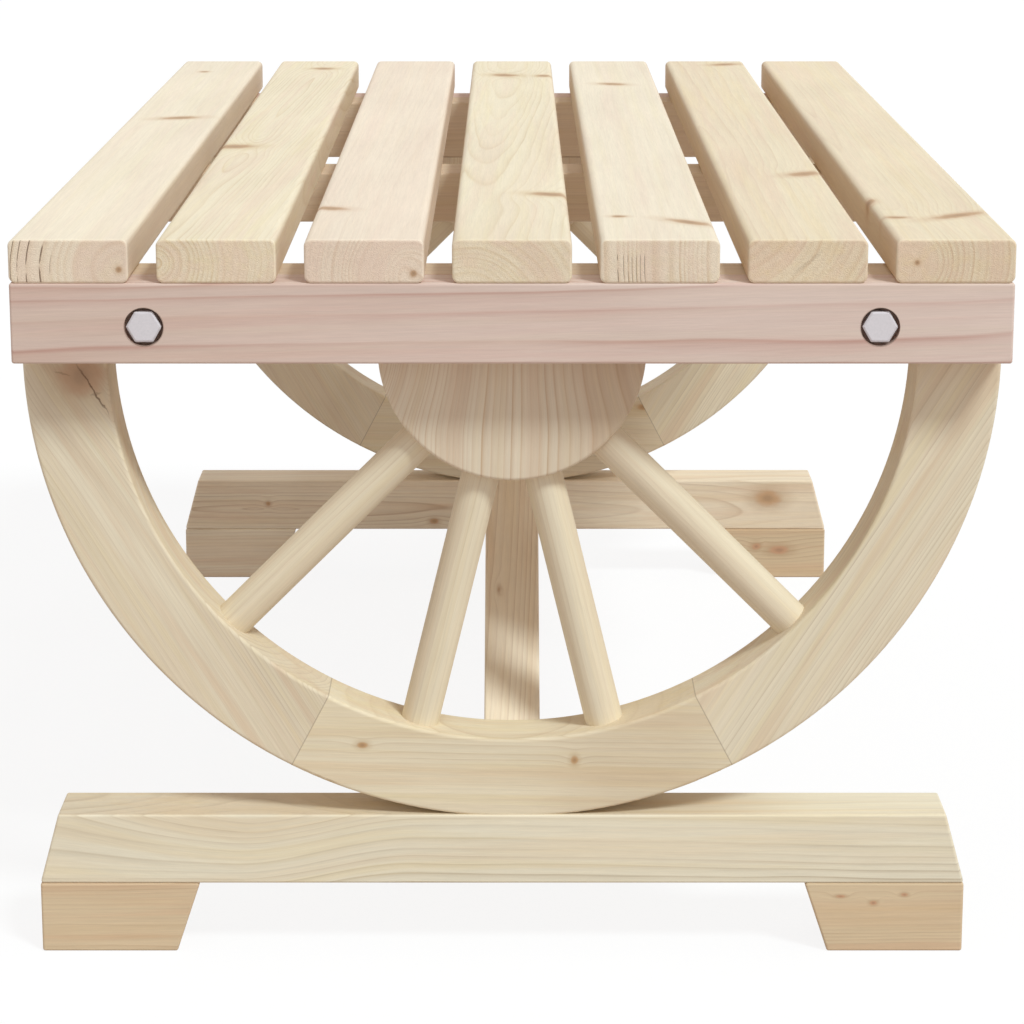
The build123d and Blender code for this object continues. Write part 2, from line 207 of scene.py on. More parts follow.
# Noise in the wood: its size across and along the grain in millimetres, its detail and its roughness
SLOW_BENDS = (110, 420, 1.0, 0.5)
QUICK_BENDS = (24, 110, 1.0, 0.5)
CLOUDS = (45, 170, 2.0, 0.5)
COARSE_FIBRES = (1.9, 75, 2.0, 0.6)
FINE_FIBRES = (0.6, 17, 2.0, 0.6)
PORES = (0.65, 0.65, 2.0, 0.7)
RAGGED_EDGES = (5, 9, 2.0, 0.5)         # of knots

# Streaks: the input with their colour, their noise, and where it gives no colour and the full one
STREAKS = (
    ("Tint", (8, 300, 3.0, 0.6), (0.44, 0.70)),
    ("Blush", (13, 240, 3.0, 0.6), (0.46, 0.68)),
)

SEED_STEP = (37.0, 61.0, 173.0)         # how far the wood of one seed lies from that of the next
MIDDLE_GREY = (0.5, 0.5, 0.5)           # the middle of coloured noise
QUICK_BEND_SHARE = (0.26, 0.26, 0.0)    # size of the quick bends as a share of the slow ones
RING_STRAY = 2.4                        # how far rings stray from an even spacing, in rings
RING_STRAY_RATE = 0.23                  # how quickly that changes from ring to ring
BAND_RATE = 0.16                        # how quickly the colour of the rings changes from ring to ring

# For Graph.between(): the start and the end of a value, and what each of them gives, or 0 and 1
RING_LEVELS = (0, 1, 0.35, 1.0)         # darkness of a ring, from its random number
CLOUD_RINGS = (0.3, 0.7, 0.45, 1.2)     # darkness of rings, from clouds
BANDS = (0.48, 0.6)                     # blush of bands of rings, from noise
BAND_SHARES = (0, 1, 0.2, 0.55)         # how much of that shows on faces, and in sawn ends
FIBRE_LEVELS = (0.25, 0.75, 0.96, 1.04)     # how light a place is, as the next two
COARSE_FIBRE_LEVELS = (0.3, 0.7, 0.965, 1.025)
CLOUD_LEVELS = (0.3, 0.7, 1.02, 0.965)
PIT_DEPTHS = (0.36, 0.62, 1.0, -0.35)   # how open pores are, from their noise
KNOT_HALO = (2.5, 1.0, 0.0, 0.4)        # how much of it shows, from the distance to the knot's middle
KNOT_CORE = (1.45, 0.75, 0.0, 0.9)      # the same for the knot's wood
KNOT_HEART = (0.9, 0.35, 1.0, 0.78)     # how light that wood is, from the same distance

KNOT_RAGGEDNESS = 0.5                   # in sizes of the knot
PIT_SHADE = -0.055                      # how much open pores change the colour
LATE_HEIGHT = 0.02                      # heights for the bump, as shares of its depth
FIBRE_HEIGHT = 0.06
PIT_HEIGHT = -0.08
FACE_ROUGHNESS = 0.66
LATE_ROUGHNESS = -0.08                  # what late wood and sawn ends add to it
END_ROUGHNESS = 0.12


def add_wood_sockets(tree):
    """Give the softwood group its inputs and outputs."""
    for name, (kind, value) in WOOD_INPUTS.items():
        socket = tree.interface.new_socket(name, in_out="INPUT", socket_type="NodeSocket" + kind)
        if value is not None:
            socket.default_value = value
    for name, kind in WOOD_OUTPUTS.items():
        tree.interface.new_socket(name, in_out="OUTPUT", socket_type="NodeSocket" + kind)


def stretched(graph, place, noise):
    """Noise that is stretched along the grain, as a number and as a colour."""
    across, along, detail, roughness = noise
    scale = (1 / across, 1 / across, 1 / along)
    return graph.noise(graph.vector("MULTIPLY", place, scale), detail, roughness)


def ring_count(graph, given, place):
    """How many rings lie between the pith and a place. Bends of the trunk and knots make them wavy."""
    slow_bend = graph.vector("SUBTRACT", stretched(graph, place, SLOW_BENDS)[1], MIDDLE_GREY)
    quick_bend = graph.vector("SUBTRACT", stretched(graph, place, QUICK_BENDS)[1], MIDDLE_GREY)
    bend = graph.vector("MULTIPLY_ADD", quick_bend, QUICK_BEND_SHARE, slow_bend)
    bend = graph.vector("MULTIPLY", bend, given["Wander"])
    bent = graph.vector("MULTIPLY", graph.vector("ADD", given["Grain"], bend), (1.0, 1.0, 0.0))
    pull = graph.math("MULTIPLY", given["Knot pull"], given["Knot pull"])
    pull = graph.math("EXPONENT", graph.math("MULTIPLY", pull, -1.0))
    radius = graph.math("MULTIPLY_ADD", pull, given["Knot bend"], graph.vector("LENGTH", bent))
    count = graph.math("DIVIDE", radius, given["Ring width"])
    count = graph.math("POWER", count, given["Ring power"])
    stray = graph.line_noise(graph.math("MULTIPLY_ADD", count, RING_STRAY_RATE, given["Seed"]))
    return graph.math("MULTIPLY_ADD", stray, RING_STRAY, count)


def ring_darkness(graph, given, count, clouds):
    """How dark the rings make a place. Each darkens towards its late wood, some more than others."""
    in_ring = graph.math("FRACT", count)
    late = graph.mix(given["End"], graph.curve(in_ring, LATE_WOOD), graph.curve(in_ring, END_RINGS))
    ring = graph.math("ADD", graph.math("FLOOR", count), given["Seed"])
    level = graph.between(graph.random(ring), *RING_LEVELS, smooth=False)
    late = graph.math("MULTIPLY", late, level)
    return graph.math("MULTIPLY", late, graph.between(clouds, *CLOUD_RINGS))


def ringed(graph, given, count, late):
    """The colour of the rings. Some have another colour together, which shows most in sawn ends."""
    contrast = graph.math("SUBTRACT", given["End contrast"], given["Contrast"])
    contrast = graph.math("MULTIPLY_ADD", given["End"], contrast, given["Contrast"])
    late_share = graph.math("MULTIPLY", late, contrast, clamp=True)
    shade = graph.mix(late_share, given["Early"], given["Late"])
    bands = graph.line_noise(graph.math("MULTIPLY_ADD", count, BAND_RATE, given["Seed"]))
    band_share = graph.between(given["End"], *BAND_SHARES)
    band_share = graph.math("MULTIPLY", graph.between(bands, *BANDS), band_share)
    return graph.mix(band_share, shade, given["Blush"])


def streaked(graph, given, place, shade):
    """A colour with streaks of the tint and of the blush along the grain."""
    for name, noise, edge in STREAKS:
        streaks = graph.between(stretched(graph, place, noise)[0], *edge)
        shade = graph.mix(graph.math("MULTIPLY", streaks, given["Streaks"]), shade, given[name])
    return shade


def fibre_level(graph, place, fibres, clouds):
    """How light fibres and clouds make a place."""
    coarse_fibres = stretched(graph, place, COARSE_FIBRES)[0]
    level = graph.between(fibres, *FIBRE_LEVELS, smooth=False)
    coarse_level = graph.between(coarse_fibres, *COARSE_FIBRE_LEVELS, smooth=False)
    level = graph.math("MULTIPLY", level, coarse_level)
    return graph.math("MULTIPLY", level, graph.between(clouds, *CLOUD_LEVELS, smooth=False))


def with_sawn_ends(graph, given, count, pits, shade):
    """A colour that is that of end grain in sawn ends, with open pores and drying cracks."""
    shade = graph.mix(given["End"], shade, graph.vector("MULTIPLY", shade, END_SHADE))
    shade = graph.vector("MULTIPLY", shade, graph.math("MULTIPLY_ADD", pits, PIT_SHADE, 1.0))
    check = graph.curve(graph.math("FRACT", count), CHECK_LINE)
    check = graph.math("MULTIPLY", check, given["Checks"])
    return graph.mix(graph.math("MULTIPLY", check, given["End"]), shade, colour(*STAIN_COLOUR))


def with_knots(graph, given, place, shade):
    """A colour with knots: a soft halo, the knot's wood, and its darker heart."""
    ragged = stretched(graph, place, RAGGED_EDGES)[0]
    distance = graph.math("MULTIPLY_ADD", ragged, KNOT_RAGGEDNESS, given["Knot"])
    shade = graph.mix(graph.between(distance, *KNOT_HALO), shade, given["Late"])
    knot_wood = graph.vector("MULTIPLY", given["Knot wood"], graph.between(distance, *KNOT_HEART))
    return graph.mix(graph.between(distance, *KNOT_CORE), shade, knot_wood)


def softwood_group():
    """Sawn softwood through and through, round a pith on the Z axis. Its places are in millimetres."""
    tree = bpy.data.node_groups.new("softwood", "ShaderNodeTree")
    add_wood_sockets(tree)
    graph = Graph(tree)
    given = graph.node("NodeGroupInput").outputs
    seed_shift = graph.vector("MULTIPLY", given["Seed"], SEED_STEP)
    place = graph.vector("ADD", given["Grain"], seed_shift)
    clouds = stretched(graph, place, CLOUDS)[0]
    fibres = stretched(graph, place, FINE_FIBRES)[0]
    pores = stretched(graph, place, PORES)[0]
    pits = graph.math("MULTIPLY", graph.between(pores, *PIT_DEPTHS), given["End"])

    count = ring_count(graph, given, place)
    late = ring_darkness(graph, given, count, clouds)
    shade = streaked(graph, given, place, ringed(graph, given, count, late))
    shade = graph.vector("MULTIPLY", shade, fibre_level(graph, place, fibres, clouds))
    shade = with_sawn_ends(graph, given, count, pits, shade)
    # tone, which is painted shade on the slats' sides and round the wheel on the front foot's top
    shade = graph.mix(given["Tone"], shade, graph.vector("MULTIPLY", shade, TONE_AND_PAINTED_SHADE))
    shade = with_knots(graph, given, place, shade)
    shade = graph.mix(given["Stain"], shade, colour(*STAIN_COLOUR))

    height = graph.math("MULTIPLY", fibres, FIBRE_HEIGHT)
    height = graph.math("MULTIPLY_ADD", late, LATE_HEIGHT, height)
    height = graph.math("MULTIPLY_ADD", pits, PIT_HEIGHT, height)
    roughness = graph.math("MULTIPLY_ADD", late, LATE_ROUGHNESS, FACE_ROUGHNESS)
    roughness = graph.math("MULTIPLY_ADD", given["End"], END_ROUGHNESS, roughness)
    result = graph.node("NodeGroupOutput").inputs
    graph.put(result["Color"], shade)
    graph.put(result["Roughness"], roughness)
    graph.put(result["Height"], height)
    return tree


softwood = softwood_group()

# Colours of each kind of board: its early wood, its late wood, its tint and its blush
PALETTES = {
    "slat": ((247, 234, 210), (214, 184, 146), (241, 228, 192), (240, 217, 196)),
    "figured slat": ((245, 232, 204), (212, 184, 132), (241, 226, 186), (239, 216, 192)),
    "pink slat": ((246, 230, 208), (220, 190, 160), (243, 223, 196), (241, 218, 198)),
    "yellow slat": ((241, 226, 196), (206, 168, 128), (238, 217, 175), (237, 212, 186)),
    "pink beam": ((232, 211, 198), (194, 142, 126), (230, 211, 192), (224, 188, 174)),
    # the inner and middle beams: darker and browner, as painted shade under the slats
    "beam in painted shade": ((226, 205, 177), (188, 152, 118), (220, 196, 160), (220, 192, 166)),
    "wheel": ((240, 227, 198), (198, 168, 124), (237, 219, 174), (231, 208, 172)),
    "spoke": ((239, 226, 198), (196, 166, 126), (237, 220, 182), (231, 210, 180)),
    "rim side": ((241, 229, 202), (184, 160, 124), (238, 222, 183), (229, 205, 173)),
    "hub": ((236, 222, 197), (190, 146, 96), (230, 212, 178), (222, 198, 170)),
    "tan": ((226, 204, 169), (181, 145, 108), (219, 190, 149), (218, 183, 148)),
    "foot": ((243, 234, 209), (176, 154, 122), (241, 222, 177), (238, 218, 185)),
    "rear foot": ((252, 239, 213), (190, 158, 122), (240, 218, 180), (234, 205, 172)),
    "brace": ((248, 234, 210), (190, 157, 121), (240, 219, 184), (234, 206, 174)),
}
KNOT_COLOUR = (196, 158, 122)           # of the knots of pieces that don't have their own
RIM_KNOT = (198, 156, 112)
BLOCK_KNOT = (208, 162, 128)
REAR_FOOT_KNOT = (206, 166, 126)
BROWN_PATCH = (200, 166, 134)

# How squarely a surface has to look in a direction, as a cosine, to count not at all and in full
END_FACING = (0.7, 0.95)                # along the grain, as a sawn end
SIDE_FACING = (0.72, 0.96)              # in the direction given to facing()
SPECULAR = 0.3
BUMP_DEPTH = MM

CRACK_STRAY = (3.0, 0.0, 3.0)           # how far a crack strays from a straight line, in millimetres
CRACK_FADE = (1.0, 0.4)                 # in half widths: where a crack ends, and where it is darkest
PATCH_FADE = (1.0, 0.75)                # the same for a patch, in half sizes
PATCH_BREAKS = (0.4, 0.52)              # noise where a patch is broken, and where it is whole
CRACK_NOISE = (0.25, 0.25, 0.25)        # features of their noise in 1 mm
PATCH_NOISE = (0.25, 0.25, 0.1)


def knot_distance(graph, place, knots):
    """How far a place is from the nearest knot, in sizes of the knot: of its wood, and of its pull."""
    nearest, nearest_pull = NO_KNOT, NO_KNOT
    for centre, size, pull, turn in knots:
        seen = graph.local(place, centre, size, turn)
        stretch = [a / b for a, b in zip(size, pull)]
        distance = graph.vector("LENGTH", seen)
        pull_distance = graph.vector("LENGTH", graph.vector("MULTIPLY", seen, stretch))
        nearest = graph.math("MINIMUM", distance, nearest)
        nearest_pull = graph.math("MINIMUM", pull_distance, nearest_pull)
    return nearest, nearest_pull


def finish_wood(graph, shader, board):
    """Lead what the softwood group gives to the shader."""
    bump = graph.node("ShaderNodeBump")
    graph.put(bump.inputs["Height"], board.outputs["Height"])
    bump.inputs["Distance"].default_value = BUMP_DEPTH
    graph.put(shader.inputs["Base Color"], board.outputs["Color"])
    graph.put(shader.inputs["Roughness"], board.outputs["Roughness"])
    graph.put(shader.inputs["Normal"], bump.outputs["Normal"])
    shader.inputs["Specular IOR Level"].default_value = SPECULAR


def wood(name, palette, grain, pith, knots=(), warp=None, **settings):
    """The wood of one piece. Its pith runs along grain, past the point pith, in millimetres.

    Knots are centres with half sizes, half sizes of their pull on the rings, and a turn. The
    function warp gives where the wood of a place would be without a bend. The settings are inputs
    of the group: numbers, colours, or functions that give them for each place.
    """
    material = bpy.data.materials.new(name + "_wood")
    material.use_nodes = True
    graph = Graph(material.node_tree)
    coordinates = graph.node("ShaderNodeTexCoord")
    place = graph.vector("MULTIPLY", coordinates.outputs["Object"], (1 / MM, 1 / MM, 1 / MM))
    direction = Vector(grain).normalized()
    turn = direction.to_track_quat("Z", "Y").to_euler()
    unbent_place = warp(graph, place) if warp else place
    along_grain = graph.vector("DOT_PRODUCT", coordinates.outputs["Normal"], tuple(direction))
    board = graph.node("ShaderNodeGroup", node_tree=softwood)
    graph.put(board.inputs["Grain"], graph.local(unbent_place, pith, (1, 1, 1), turn))
    graph.put(board.inputs["End"], graph.between(graph.math("ABSOLUTE", along_grain), *END_FACING))
    for socket_name, shade in zip(("Early", "Late", "Tint", "Blush"), PALETTES[palette]):
        graph.put(board.inputs[socket_name], colour(*shade))
    graph.put(board.inputs["Knot wood"], colour(*KNOT_COLOUR))
    for key, value in settings.items():
        if callable(value):
            value = value(graph, place)
        graph.put(board.inputs[key.replace("_", " ").capitalize()], value)
    if knots:
        nearest, nearest_pull = knot_distance(graph, place, knots)
        graph.put(board.inputs["Knot"], nearest)
        graph.put(board.inputs["Knot pull"], nearest_pull)
    finish_wood(graph, graph.tree.nodes["Principled BSDF"], board)
    return material


def facing(graph, direction, share=1.0):
    """This share where the surface looks in a direction, and 0 where it looks across it or away."""
    normal = graph.node("ShaderNodeTexCoord").outputs["Normal"]
    return graph.between(graph.vector("DOT_PRODUCT", normal, direction), *SIDE_FACING, 0.0, share)


def crack(graph, place, start, end, half_width, depth):
    """How dark a place is for a ragged crack, which runs between two points of X and Z."""
    noise = graph.noise(graph.vector("MULTIPLY", place, CRACK_NOISE))[1]
    ragged = graph.vector("SUBTRACT", noise, MIDDLE_GREY)
    place = graph.vector("MULTIPLY_ADD", ragged, CRACK_STRAY, place)
    run, rise = end[0] - start[0], end[1] - start[1]
    centre = ((start[0] + end[0]) / 2, 0, (start[1] + end[1]) / 2)
    half_size = (math.hypot(run, rise) / 2, 1, half_width)
    seen = graph.local(place, centre, half_size, (0, -math.atan2(rise, run), 0))
    distance = graph.vector("LENGTH", graph.vector("MULTIPLY", seen, (1, 0, 1)))
    return graph.between(distance, *CRACK_FADE, 0.0, depth)


def patch(graph, place, low, high, depth):
    """A depth inside a box of X and Z, with breaks, that fades out towards the box's edges."""
    centre = ((low[0] + high[0]) / 2, 0, (low[1] + high[1]) / 2)
    half_size = ((high[0] - low[0]) / 2, 1, (high[1] - low[1]) / 2)
    across, along, up = graph.parts(graph.vector("ABSOLUTE", graph.local(place, centre, half_size)))
    inside = graph.between(graph.math("MAXIMUM", across, up), *PATCH_FADE, 0.0, depth)
    breaks = graph.noise(graph.vector("MULTIPLY", place, PATCH_NOISE))[0]
    return graph.math("MULTIPLY", inside, graph.between(breaks, *PATCH_BREAKS))


def dress(name, material):
    """Give a node of the frame its material."""
    for slot in nodes[name].material_slots:
        slot.material = material


def middle(name):
    """The middle of a node, in millimetres."""
    low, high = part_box(name)
    return (low + high) / 2 / MM


# The slats --------------------------------------------------------------------------------------

SLAT_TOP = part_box("slat_1")[1].z / MM
SLAT_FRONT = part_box("slat_1")[0].y / MM

# For each slat: the pith across the slat and up from the middle of its front end, the slope of the
# grain, and the settings of its wood
SLATS = {
    1: dict(
        pith=(27.5, -4), slope=(0.004, 0.0), palette="slat",
        ring_width=4.9, contrast=0.16, end_contrast=0.7, wander=4, streaks=0.25),
    2: dict(
        pith=(-34, -2), slope=(0.05, 0.02), palette="figured slat",
        ring_width=2.9, contrast=0.62, end_contrast=0.68, wander=14, streaks=0.45, knot_bend=10),
    3: dict(
        pith=(27, -7.5), slope=(0.01, -0.015), palette="pink slat",
        ring_width=2.8, contrast=0.26, end_contrast=0.5, wander=7, streaks=0.3),
    4: dict(
        pith=(-22, -30), slope=(0.02, 0.028), palette="figured slat",
        ring_width=3.6, contrast=0.5, end_contrast=0.45, wander=12, streaks=0.4, knot_bend=7),
    5: dict(
        pith=(150, 4), slope=(0.0, 0.01), palette="slat",
        ring_width=3.8, contrast=0.2, end_contrast=0.8, wander=5, streaks=0.3),
    6: dict(
        pith=(-45, 30), slope=(0.01, 0.02), palette="yellow slat",
        ring_width=4.4, contrast=0.34, end_contrast=0.5, wander=12, streaks=0.45),
    7: dict(
        pith=(-25.5, -1.5), slope=(0.0, 0.012), palette="yellow slat",
        ring_width=3.1, contrast=0.34, end_contrast=0.5, wander=8, streaks=0.4),
}

# Knots in the tops of the slats: slat, place across it and along the table, half length and half
# width, and turn in degrees
SLAT_KNOTS = (
    (1, 4, 73, 16, 8, 17), (1, -8, 370, 4, 5, 0),
    (2, -24, -78, 15, 11, 10), (2, 7, 393, 10, 8, 0),
    (3, -24, -342, 11, 7, -23),
    (4, -6, 345, 13, 10, -30), (4, 25, 340, 7, 8, 0), (4, 22, -288, 14, 8, -23),
    (5, -2, 283, 12, 8, -25), (5, -20, -371, 5, 4, 0), (5, 19, -392, 17, 6, -44),
    (6, 21, -204, 14, 8, 40), (6, 15, 424, 13, 8, 26),
    (7, 12, -368, 21, 6, 38), (7, -24, -375, 7, 4, 0), (7, -32, -313, 4, 9, 0),
)
SLAT_KNOT_DEPTH = 9                     # half of it, from 1 mm under the top
SLAT_KNOT_PULL = (1.6, 34, 14)          # half lengths of the knot, then millimetres across and down

# Knots that show in the slats' front ends, which run along them: slat, place in X and Z, radius
END_KNOTS = ((1, -214.5, 408.7, 2.0), (3, -53.7, 406.5, 2.2), (7, 221.0, 412.6, 1.6))
END_KNOT_DEPTH = 12                     # half of it
END_KNOT_PULL_DEPTH = 30                # half of that of the pull
END_KNOT_PULL = 3                       # radius of the pull, in radii of the knot

# Drying cracks in the slats' front ends: slat, the low and high corners of their patch in X and Z,
# and how dark they are
END_CHECKS = ((1, (-279, 396), (-250, 431), 0.8), (5, (55, 394), (76, 418), 0.75))
# A reddish streak in a slat's front end: slat, its ends in X and Z, half width, and how dark it is
END_STREAKS = ((6, (150, 403), (172, 421), 1.6, 0.16),)
END_DEPTHS = (1.5, 0.5)                 # behind the front ends: where marks stop and where they are full
RIGHT_SIDE_PAINTED_SHADE = 0.7                   # painted shade on the right sides of the slats, where that on their left sides is 1


def at_front(graph, place, value):
    """A value that shows in the front ends of the slats alone."""
    depths = [SLAT_FRONT + depth for depth in END_DEPTHS]
    return graph.math("MULTIPLY", value, graph.between(graph.parts(place)[1], *depths))


def end_marks(rows, index, make):
    """A setting for wood() that makes the marks of one slat's front end, or 0 where it has none."""
    found = [row[1:] for row in rows if row[0] == index]
    if not found:
        return 0.0
    return lambda graph, place: at_front(graph, place, make(graph, place, *found[0]))


def slat_sides_painted_shade(graph, place):
    """Painted shade: the sides of the slats are darker and warmer than their tops, the left ones most of
    all.
    """
    right_side = facing(graph, (1, 0, 0), RIGHT_SIDE_PAINTED_SHADE)
    return graph.math("MAXIMUM", facing(graph, (-1, 0, 0)), right_side)


def slat_knots(index, centre_x):
    """The knots in the top and in the front end of one slat, for wood()."""
    knots = []
    for slat, x, y, half_length, half_width, turn in SLAT_KNOTS:
        if slat == index:
            half_size = (half_length, half_width, SLAT_KNOT_DEPTH)
            pull = (half_length * SLAT_KNOT_PULL[0], *SLAT_KNOT_PULL[1:])
            knots.append(((centre_x + x, y, SLAT_TOP - 1), half_size, pull, (0, 0, math.radians(turn))))
    for slat, x, z, radius in END_KNOTS:
        if slat == index:
            half_size = (radius, END_KNOT_DEPTH, radius)
            pull = (radius * END_KNOT_PULL, END_KNOT_PULL_DEPTH, radius * END_KNOT_PULL)
            knots.append(((x, SLAT_FRONT, z), half_size, pull, (0, 0, 0)))
    return knots


def slat_wood(index):
    """The wood of one slat."""
    settings = dict(SLATS[index])
    name = f"slat_{index}"
    centre = middle(name)
    across, up = settings.pop("pith")
    slope = settings.pop("slope")
    return wood(
        name, settings.pop("palette"), (slope[0], 1.0, slope[1]),
        (centre.x + across, SLAT_FRONT, centre.z + up), slat_knots(index, centre.x),
        stain=end_marks(END_STREAKS, index, crack), checks=end_marks(END_CHECKS, index, patch),
        # the tone of the slats' sides is painted shade
        tone=slat_sides_painted_shade, seed=float(index), **settings,
    )


for index in SLATS:
    dress(f"slat_{index}", slat_wood(index))


# Beams ------------------------------------------------------------------------------------------

BOLT_REACH = max(abs(corner.x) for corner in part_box("hex_bolts")) / MM
BOLT_HEAD_REACH = 9.8           # from a bolt's axis to the corners of its head
BOLT_X = BOLT_REACH - BOLT_HEAD_REACH
BOLT_Z = middle("hex_bolts").z
BORE_EDGE = (11.4, 10.7)        # from a bolt's axis to where the wood isn't darkened, and to where it is
BORE_DARKNESS = 0.45
BEAM_TONE = 0.5                 # at the left ends of the outer beams
BEAM_TONE_RUN = (-260, 170)     # along X, from full tone to none


def bored(graph, place):
    """Dark where the beam is cut out round its bolt heads."""
    x, y, z = graph.parts(place)
    from_axis = graph.joined(graph.math("SUBTRACT", graph.math("ABSOLUTE", x), BOLT_X), 0.0, z)
    from_axis = graph.vector("SUBTRACT", from_axis, (0.0, 0.0, BOLT_Z))
    return graph.between(graph.vector("LENGTH", from_axis), *BORE_EDGE, 0.0, BORE_DARKNESS)


def outer_beam_tone(graph, place):
    """The outer beams are deeper in colour towards their left ends."""
    return graph.between(graph.parts(place)[0], *BEAM_TONE_RUN, BEAM_TONE, 0.0)


def dress_beams(end, seed):
    """Give the two beams at one end of the table their wood."""
    name = f"{end}_outer_beam"
    centre = middle(name)
    dress(name, wood(
        name, "pink beam", (1.0, 0.004, 0.03), (0, centre.y + 70, centre.z - 46), stain=bored,
        tone=outer_beam_tone, seed=seed, ring_width=4.6, contrast=0.85, wander=12, streaks=0.35,
    ))
    name = f"{end}_inner_beam"
    centre = middle(name)
    dress(name, wood(
        name, "beam in painted shade", (1.0, 0.01, 0.01), (0, centre.y - 20, centre.z - 50),
        seed=seed + 1, ring_width=3.4,
    ))


dress_beams("front", 11.0)
dress_beams("rear", 21.0)
centre = middle("middle_beam")
dress("middle_beam", wood(
    "middle_beam", "beam in painted shade", (1.0, 0.01, 0.01), (0, centre.y + 30, centre.z - 60),
    seed=31.0, ring_width=3.4,
))


# Wheels -----------------------------------------------------------------------------------------

WHEEL_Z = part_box("front_rim_left")[1].z / MM
HUB_X = middle("front_hub").x
JOINT_ANGLE = math.radians(27.65)       # of the rim's joints, from straight down
JOINT_EDGE = (0.5, 0.15)                # from a joint to where the wood isn't dark, and to where it is
JOINT_STAIN = 0.35
SIDE_GRAIN_ANGLE = math.radians(31.2)   # of the grain in the rim's upper segments, from straight down
SIDE_LOW_TONE = 0.3                     # at the joints of the rim's left segments
SIDE_LOW_TONE_RUN = (235, 165)          # height, from no tone to full
SIDE_INNER_WAY = (0.9, 0.0, 0.44)       # the way that those segments' inner face looks
SIDE_INNER_TONE = 0.4
SIDE_BAND = (-207.0, 0.0, 248.0)        # a place in those segments' deeper band
SIDE_BAND_ANGLE = math.radians(36.0)    # of that band, from straight down
SIDE_BAND_TONE = 0.32
SIDE_BAND_EDGE = (8, 1)                 # from the band's middle, to no tone and to full
SPOKE_ANGLES = (-45.0, -13.6, 13.6, 45.0)   # degrees from straight down, towards the right
HUB_FAN = 0.16                          # how much the hub's lines spread
HUB_FAN_DROP = 50.0                     # from the top of the hub down to where they have spread
HUB_TONE = 0.85                         # at the right edge of the hub
HUB_TONE_RUN = (5, 60)                  # to the right of the hub's middle, from no tone to full
RIM_TONE_X = 75.0                       # middle of the deeper part of the rim's bottom segment
RIM_TONE = 0.5
RIM_TONE_RUN = (75, 15)                 # from that middle, to no tone and to full
# The rim's upper segments: their pith, across from their middle, and the contrast of their rings
SIDE_PITH = {"left": -70, "right": -25}
SIDE_CONTRAST = {"left": 0.42, "right": 0.5}

# Cracks at the top of the front left segment of the rim: ends in X and Z, half width, and darkness
RIM_CRACKS = (
    ((-246, 354), (-224, 317), 0.75, 0.75),
    ((-257, 346), (-246, 343), 0.8, 0.3),
    ((-238, 331), (-229, 334), 0.8, 0.3),
)
# Knots in faces that look forwards: place in X and Z, half length and half width
RIM_PATCH = (-241, 343, 15, 13)         # brown wood, where those cracks are
RIM_KNOTS = {
    "front": ((-86, 126, 3.4, 2.0), (36, 117, 2.4, 2.8)),
    "rear": ((110, 147, 7, 3),),
}
FACE_KNOT_DEPTH = 14                    # half of it
FACE_KNOT_PULL_DEPTH = 24               # half of that of the pull
FACE_KNOT_PULL = 3                      # half sizes of the pull, in those of the knot


def rim_joints(graph, place):
    """A thin dark line at the rim's two glued joints."""
    x, y, z = graph.parts(place)
    across = graph.math("MULTIPLY", graph.math("ABSOLUTE", x), math.cos(JOINT_ANGLE))
    fall = graph.math("SUBTRACT", z, WHEEL_Z)
    from_joint = graph.math("ABSOLUTE", graph.math("MULTIPLY_ADD", fall, math.sin(JOINT_ANGLE), across))
    return graph.between(from_joint, *JOINT_EDGE, 0.0, JOINT_STAIN)


def cracked_joints(graph, place):
    """The rim's joints, and the cracks in the knotty wood at the top of its front left segment."""
    dark = rim_joints(graph, place)
    for row in RIM_CRACKS:
        dark = graph.math("MAXIMUM", dark, crack(graph, place, *row))
    return dark


def rim_bottom_tone(graph, place):
    """The bottom of the rim is deeper in colour in its right half."""
    from_middle = graph.math("ABSOLUTE", graph.math("SUBTRACT", graph.parts(place)[0], RIM_TONE_X))
    return graph.between(from_middle, *RIM_TONE_RUN, 0.0, RIM_TONE)


def rim_left_tone(graph, place):
    """The left segments of the rim are deeper in colour on their inner face and towards their joint.

    A soft band through the middle of the segment, almost along the grain, is deeper too.
    """
    low_end = graph.between(graph.parts(place)[2], *SIDE_LOW_TONE_RUN, 0.0, SIDE_LOW_TONE)
    deeper = graph.math("MAXIMUM", low_end, facing(graph, SIDE_INNER_WAY, SIDE_INNER_TONE))
    across_band = (math.cos(SIDE_BAND_ANGLE), 0, math.sin(SIDE_BAND_ANGLE))
    from_band = graph.vector("DOT_PRODUCT", graph.vector("SUBTRACT", place, SIDE_BAND), across_band)
    band = graph.between(graph.math("ABSOLUTE", from_band), *SIDE_BAND_EDGE, 0.0, SIDE_BAND_TONE)
    return graph.math("MAXIMUM", deeper, band)


def hub_tone(graph, place):
    """The hub is deeper in colour towards its right edge."""
    run = [HUB_X + step for step in HUB_TONE_RUN]
    return graph.between(graph.parts(place)[0], *run, 0.0, HUB_TONE)


def fanned(graph, place):
    """The hub's wood, whose lines spread as they go down."""
    x, y, z = graph.parts(place)
    share = graph.between(z, WHEEL_Z, WHEEL_Z - HUB_FAN_DROP, 0.0, HUB_FAN)
    spread = graph.math("MULTIPLY", graph.math("SUBTRACT", x, HUB_X), share)
    return graph.joined(graph.math("SUBTRACT", x, spread), y, z)


def face_knots(face_y, rows):
    """Knots in a face that looks forwards, with their pull on the rings."""
    knots = []
    for x, z, half_length, half_width in rows:
        half_size = (half_length, FACE_KNOT_DEPTH, half_width)
        pull = (half_length * FACE_KNOT_PULL, FACE_KNOT_PULL_DEPTH, half_width * FACE_KNOT_PULL)
        knots.append(((x, face_y, z), half_size, pull, (0, 0, 0)))
    return knots


def downwards(angle):
    """The way of grain that goes down, turned towards the right by an angle."""
    return (math.sin(angle), 0.01, -math.cos(angle))


